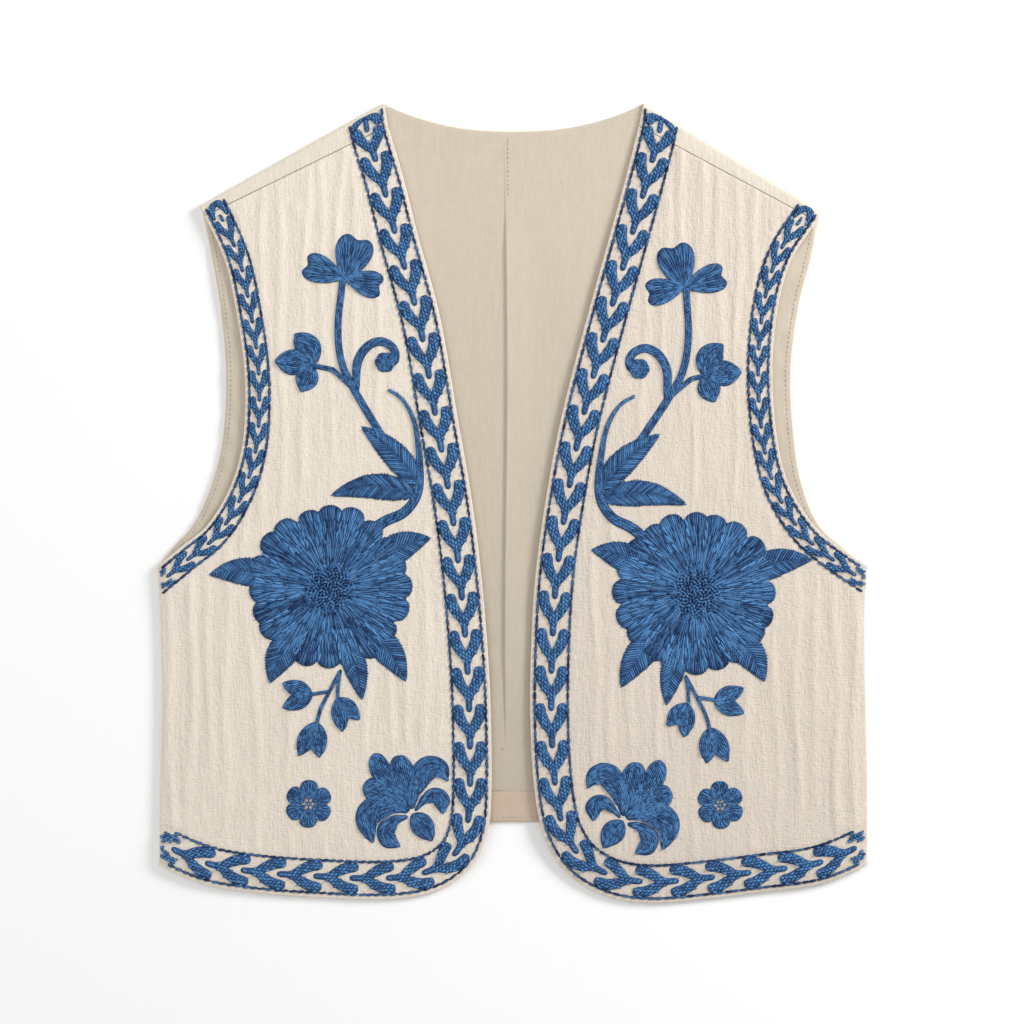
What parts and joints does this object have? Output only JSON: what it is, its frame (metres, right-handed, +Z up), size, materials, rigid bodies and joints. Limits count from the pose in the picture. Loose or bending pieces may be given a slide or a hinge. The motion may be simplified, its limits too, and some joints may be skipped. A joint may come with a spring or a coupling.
{
  "type": "embroidered waistcoat",
  "caption": "Cropped open-front waistcoat of crinkled cotton, laid flat, with chain-stitched chevron borders and flower embroidery on both fronts.",
  "frame": {"origin": "on the surface the garment lies on, under the middle of its outline", "axes": "+X to the right of the laid garment as seen from above, +Y from hem to neck, +Z up from the surface"},
  "size_m": [0.5032, 0.568, 0.0077],
  "materials": {
    "shell_cotton": "crinkled cotton crepe, matt",
    "lining_cotton": "plain cotton lawn, matt",
    "facing_cotton": "plain cotton, matt",
    "blue_thread": "stranded cotton embroidery, soft sheen"
  },
  "bodies": {
    "root": {"back_shell": "shell_cotton", "back_lining": "lining_cotton", "back_hem_facing": "facing_cotton", "front_left": "shell_cotton", "front_right": "shell_cotton", "border_front_left": "blue_thread", "border_front_right": "blue_thread", "border_armhole_left": "blue_thread", "border_armhole_right": "blue_thread", "flower_left": "blue_thread", "flower_right": "blue_thread", "spray_left": "blue_thread", "spray_right": "blue_thread", "sprig_left": "blue_thread", "sprig_right": "blue_thread", "small_flower_left": "blue_thread", "small_flower_right": "blue_thread", "palmette_left": "blue_thread", "palmette_right": "blue_thread"}
  },
  "joints": []
}
